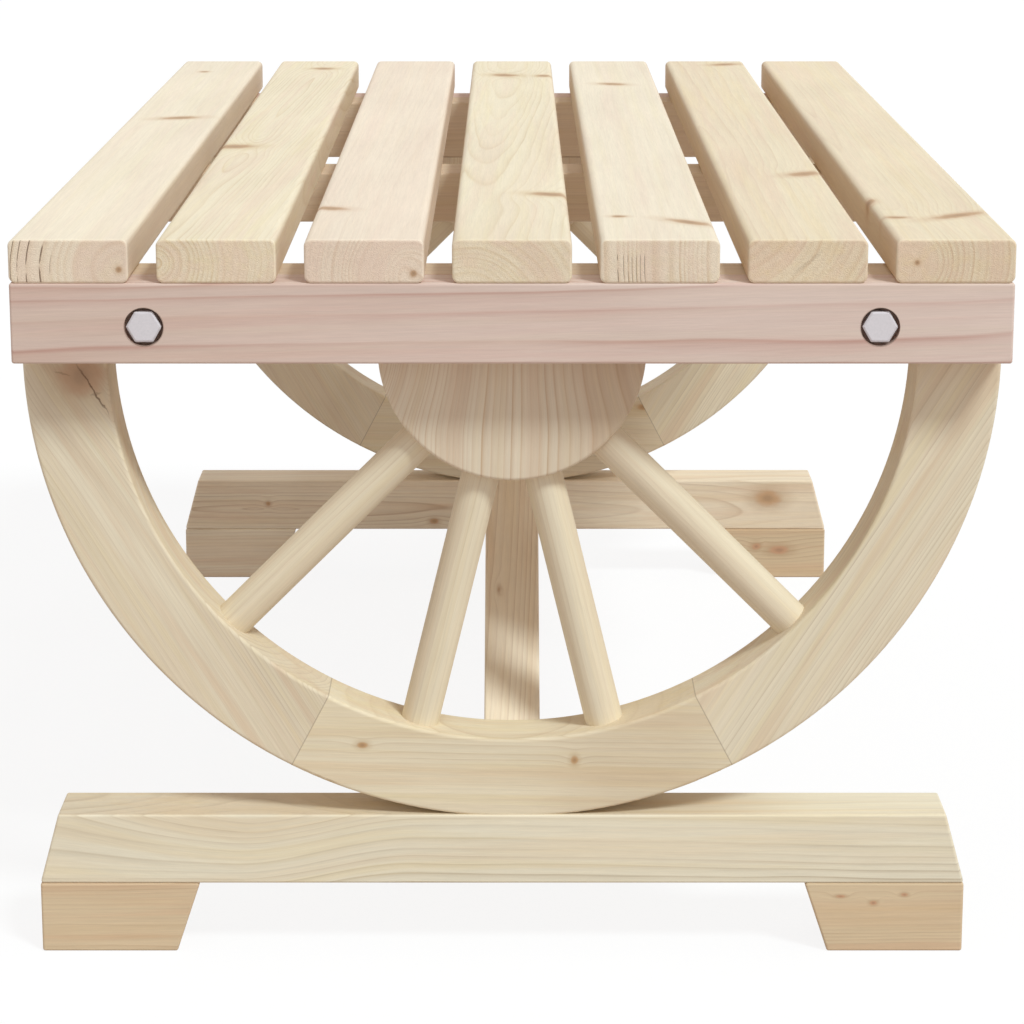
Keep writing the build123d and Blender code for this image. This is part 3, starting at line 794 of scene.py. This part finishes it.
def dress_rim(end, seed):
    """Give the three segments of one rim their wood."""
    face_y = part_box(f"{end}_rim_bottom")[0].y / MM
    for index, side in enumerate(("left", "right")):
        name = f"{end}_rim_{side}"
        centre = middle(name)
        at_patch = name == "front_rim_left"
        dress(name, wood(
            name, "rim side", downwards(SIDE_GRAIN_ANGLE if side == "left" else -SIDE_GRAIN_ANGLE),
            (centre.x + SIDE_PITH[side], face_y + 34, centre.z),
            face_knots(face_y, (RIM_PATCH,)) if at_patch else (),
            stain=cracked_joints if at_patch else rim_joints, knot_wood=colour(*BROWN_PATCH),
            tone=rim_left_tone if side == "left" else 0.0, seed=seed + index, ring_width=2.1,
            contrast=SIDE_CONTRAST[side], streaks=0.6, wander=6,
        ))
    name = f"{end}_rim_bottom"
    dress(name, wood(
        name, "wheel", (1.0, 0.01, -0.02), (0, face_y + 30, 10), face_knots(face_y, RIM_KNOTS[end]),
        stain=rim_joints, tone=rim_bottom_tone, knot_wood=colour(*RIM_KNOT),
        seed=seed + 2, ring_width=3.6, contrast=0.4, streaks=0.55, knot_bend=2.5,
    ))


def dress_hub(end, seed):
    """Give one hub and its spokes their wood."""
    name = f"{end}_hub"
    centre = middle(name)
    dress(name, wood(
        name, "hub", (0.02, 0.0, 1.0), (centre.x + 150, centre.y + 5, centre.z), warp=fanned,
        tone=hub_tone, seed=seed, ring_width=62.0, ring_power=2.94, contrast=0.65, wander=4, streaks=0.5,
    ))
    for number, angle in enumerate(SPOKE_ANGLES, 1):
        name = f"{end}_spoke_{number}"
        centre = middle(name)
        dress(name, wood(
            name, "spoke", downwards(math.radians(angle)), (centre.x - 30, centre.y + 14, centre.z),
            seed=seed + number, ring_width=2.4, contrast=0.35, wander=5, streaks=0.45,
        ))


for end, seed in (("front", 41.0), ("rear", 61.0)):
    dress_rim(end, seed)
    dress_hub(end, seed + 3)


# Feet and braces --------------------------------------------------------------------------------

FOOT_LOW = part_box("front_foot_beam")[0].z / MM
FOOT_SPREAD = 0.5                       # how much the lines of the front foot spread at its left end
FOOT_SPREAD_RUN = (-275, -140)          # along X, from there to where they don't
FOOT_RISE = 15.0                        # how far its lines rise
FOOT_RISE_RUN = (-160, -55)             # along X, from where they start to where they have risen
FOOT_TOP_TONE_AND_PAINTED_SHADE = 0.85                    # on the left part of the front foot's top: the wood's deeper tone, and painted shade where the wheel's shadow falls
FOOT_TOP_TONE_AND_PAINTED_SHADE_RUN = (185, 100)          # along X, from no tone to full

# Knots in faces that look forwards: place in X and Z, half length and half width
REAR_FOOT_KNOTS = ((214, 69, 12, 7.5), (-204, 64, 2.2, 2.2), (-65, 49, 4, 2.5))
BLOCK_KNOTS = {
    "front_foot_block_right": ((210, 30, 2.2, 1.4), (191, 34, 3.0, 1.0), (228, 35, 2.2, 1.2)),
    "rear_foot_block_right": ((224, 24, 9, 4), (205, 27, 4, 3)),
}
# The knot low in the front brace: place in X and Z, place in Y past the brace's front end, half
# sizes, and half sizes of its pull
BRACE_KNOT = (-8, 187, 65, (1.3, 12, 2.0), (3.5, 20, 6))


def swept(graph, place):
    """The front foot's wood, whose lines spread to the left, and rise by some way near its middle."""
    x, y, z = graph.parts(place)
    spread = graph.between(x, *FOOT_SPREAD_RUN, FOOT_SPREAD, 0.0)
    height = graph.math("SUBTRACT", z, FOOT_LOW)
    z = graph.math("SUBTRACT", z, graph.math("MULTIPLY", height, spread))
    rise = graph.between(x, *FOOT_RISE_RUN, 0.0, FOOT_RISE)
    return graph.joined(x, y, graph.math("SUBTRACT", z, rise))


def foot_top_tone_and_painted_shade(graph, place):
    """The top of the front foot is deeper in colour from under the wheel to its left end: the wood's own
    tone towards that end, and painted shade where the wheel's shadow falls on it.
    """
    share = graph.between(graph.parts(place)[0], *FOOT_TOP_TONE_AND_PAINTED_SHADE_RUN, 0.0, FOOT_TOP_TONE_AND_PAINTED_SHADE)
    return graph.math("MULTIPLY", share, facing(graph, (0, 0, 1)))


def front_foot_wood(name, face_y, centre_z, seed):
    """The wood of the front foot beam."""
    return wood(
        name, "foot", (1.0, 0.01, 0.0), (0, face_y + 40, centre_z - 66), warp=swept,
        tone=foot_top_tone_and_painted_shade, seed=seed, ring_width=4.2, contrast=0.8, wander=14, streaks=0.4,
    )


def rear_foot_wood(name, face_y, centre_z, seed):
    """The wood of the rear foot beam."""
    return wood(
        name, "rear foot", (1.0, 0.05, 0.0), (-160, face_y + 3, centre_z - 4),
        face_knots(face_y, REAR_FOOT_KNOTS), knot_wood=colour(*REAR_FOOT_KNOT),
        seed=seed, ring_width=3.2, contrast=0.75, wander=10, knot_bend=2.5,
    )


def dress_foot(end, seed, foot_wood):
    """Give one foot beam and its two blocks their wood."""
    name = f"{end}_foot_beam"
    face_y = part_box(name)[0].y / MM
    dress(name, foot_wood(name, face_y, middle(name).z, seed))
    for index, side in enumerate(("left", "right"), 1):
        name = f"{end}_foot_block_{side}"
        centre = middle(name)
        palette = "rear foot" if name == "rear_foot_block_left" else "tan"
        dress(name, wood(
            name, palette, (1.0, 0.01, 0.02), (0, centre.y + 40, centre.z - 60),
            face_knots(face_y, BLOCK_KNOTS.get(name, ())), knot_wood=colour(*BLOCK_KNOT),
            seed=seed + index, ring_width=2.2, contrast=0.5, streaks=0.5, wander=10, knot_bend=3,
        ))


def dress_brace(end, seed):
    """Give one brace its wood. The braces rise towards the middle of the table."""
    name = f"{end}_brace"
    low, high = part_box(name)
    rise = (high.z - low.z) / (high.y - low.y)
    centre = middle(name)
    knots = ()
    if end == "front":
        x, z, past_end, half_size, pull = BRACE_KNOT
        knots = [((x, low.y / MM + past_end, z), half_size, pull, (0, 0, 0))]
    dress(name, wood(
        name, "brace", (0.01, 1.0, rise if end == "front" else -rise),
        (centre.x - 60, centre.y, centre.z - 30), knots,
        seed=seed, ring_width=3.6, contrast=0.85, wander=5,
    ))


for end, seed, foot_wood in (("front", 81.0, front_foot_wood), ("rear", 91.0, rear_foot_wood)):
    dress_foot(end, seed, foot_wood)
    dress_brace(end, seed + 3)


# Metal and dowels -------------------------------------------------------------------------------

METAL_SPOTS = (900, 900, 900)           # in a metre
METAL_SPOT_DETAIL = 3.0
METAL_SPOT_EDGE = (0.3, 0.7)            # noise where they are darkest and lightest
METAL_LEVELS = (0.93, 1.04)             # the colour there, as a share of the usual one
ROUGHNESS_STEP = 0.06                   # how far the roughness there lies from the usual one
METALLIC = 0.5
METAL_BUMP_DEPTH = 0.02 * MM
BOLT_SETS = ("hex_bolts", "washers", "nuts")
SCREWS = (
    "slat_screws", "middle_beam_screws", "wheel_screws", "foot_screws", "block_screws", "brace_screws",
)


def metal(name, shade, roughness):
    """Plated steel, a little uneven."""
    material = bpy.data.materials.new(name)
    material.use_nodes = True
    graph = Graph(material.node_tree)
    shader = material.node_tree.nodes["Principled BSDF"]
    coordinates = graph.node("ShaderNodeTexCoord").outputs["Object"]
    spots = graph.noise(graph.vector("MULTIPLY", coordinates, METAL_SPOTS), METAL_SPOT_DETAIL)[0]
    level = graph.between(spots, *METAL_SPOT_EDGE, *METAL_LEVELS, smooth=False)
    graph.put(shader.inputs["Base Color"], graph.vector("MULTIPLY", colour(*shade)[:3], level))
    roughnesses = (roughness - ROUGHNESS_STEP, roughness + ROUGHNESS_STEP)
    graph.put(shader.inputs["Roughness"], graph.between(spots, *METAL_SPOT_EDGE, *roughnesses))
    shader.inputs["Metallic"].default_value = METALLIC
    bump = graph.node("ShaderNodeBump")
    bump.inputs["Distance"].default_value = METAL_BUMP_DEPTH
    graph.put(bump.inputs["Height"], spots)
    graph.put(shader.inputs["Normal"], bump.outputs["Normal"])
    return material


zinc = metal("zinc", (222, 217, 219), 0.75)
yellow_zinc = metal("yellow_zinc", (205, 190, 140), 0.4)
for name in BOLT_SETS:
    dress(name, zinc)
for name in SCREWS:
    dress(name, yellow_zinc)
dress("rim_dowels", wood("rim_dowels", "tan", (1.0, 0.0, 0.0), (0, 0, 0), ring_width=2.0, contrast=0.3))


# Floor, light and camera ------------------------------------------------------------------------

def seen_directly(graph):
    """1 for the rays that carry a picture: from the camera, off gloss and through glass."""
    rays = graph.node("ShaderNodeLightPath").outputs
    share = graph.math("MAXIMUM", rays["Is Camera Ray"], rays["Is Glossy Ray"])
    return graph.math("MAXIMUM", share, rays["Is Transmission Ray"])


def mixed_shader(graph, factor, first, second):
    """A mix of two shaders."""
    node = graph.node("ShaderNodeMixShader")
    for socket, value in zip(node.inputs, (factor, first, second)):
        graph.put(socket, value)
    return node.outputs[0]


def floor_material():
    """Grey for the light that it sends up, and white to the camera but for the object's shadow."""
    material = bpy.data.materials.new("floor")
    material.use_nodes = True
    graph = Graph(material.node_tree)
    graph.tree.nodes.remove(graph.tree.nodes["Principled BSDF"])
    bounce = graph.node("ShaderNodeBsdfDiffuse")
    bounce.inputs["Color"].default_value = FLOOR_BOUNCE
    shade = graph.node("ShaderNodeBsdfDiffuse")
    shade.inputs["Color"].default_value = (FLOOR_SHADE, FLOOR_SHADE, FLOOR_SHADE, 1)
    glow = graph.node("ShaderNodeEmission")
    glow.inputs["Strength"].default_value = FLOOR_GLOW
    both = graph.node("ShaderNodeAddShader")
    graph.put(both.inputs[0], shade.outputs[0])
    graph.put(both.inputs[1], glow.outputs[0])
    surface = mixed_shader(graph, seen_directly(graph), bounce.outputs[0], both.outputs[0])
    graph.put(graph.tree.nodes["Material Output"].inputs["Surface"], surface)
    return material


def make_floor():
    """A plain floor, which isn't part of the object."""
    bpy.ops.mesh.primitive_plane_add(size=FLOOR_SIZE)
    floor = bpy.context.object
    floor.name = "floor"
    floor.data.materials.append(floor_material())


def make_world():
    """An even sky, white where it is seen."""
    world = bpy.data.worlds.new("studio")
    world.use_nodes = True
    bpy.context.scene.world = world
    graph = Graph(world.node_tree)
    sky = graph.tree.nodes["Background"]
    sky.inputs["Color"].default_value = SKY_COLOUR
    sky.inputs["Strength"].default_value = SKY_STRENGTH
    backdrop = graph.node("ShaderNodeBackground")
    backdrop.inputs["Color"].default_value = BACKDROP_COLOUR
    surface = mixed_shader(graph, seen_directly(graph), sky.outputs[0], backdrop.outputs[0])
    graph.put(graph.tree.nodes["World Output"].inputs["Surface"], surface)


def make_sun():
    """The soft lamp."""
    lamp = bpy.data.lights.new("sun", "SUN")
    lamp.energy = SUN_STRENGTH
    lamp.color = SUN_COLOUR
    lamp.angle = math.radians(SUN_ANGLE)
    sun = bpy.data.objects.new("sun", lamp)
    bpy.context.scene.collection.objects.link(sun)
    elevation, turn = math.radians(SUN_ELEVATION), math.radians(SUN_TURN)
    towards = Vector((
        math.sin(turn) * math.cos(elevation),
        -math.cos(turn) * math.cos(elevation),
        math.sin(elevation),
    ))
    sun.rotation_euler = towards.to_track_quat("Z", "Y").to_euler()


def make_camera():
    """The camera in front of the table, which looks down a little."""
    data = bpy.data.cameras.new("camera")
    data.lens = CAMERA_LENS
    data.shift_y = CAMERA_SHIFT
    camera = bpy.data.objects.new("camera", data)
    bpy.context.scene.collection.objects.link(camera)
    camera.location = CAMERA_PLACE
    camera.rotation_euler = (math.radians(90 - CAMERA_PITCH), 0, 0)
    bpy.context.scene.camera = camera


make_floor()
make_world()
make_sun()
make_camera()
bpy.context.scene.view_settings.view_transform = "Standard"
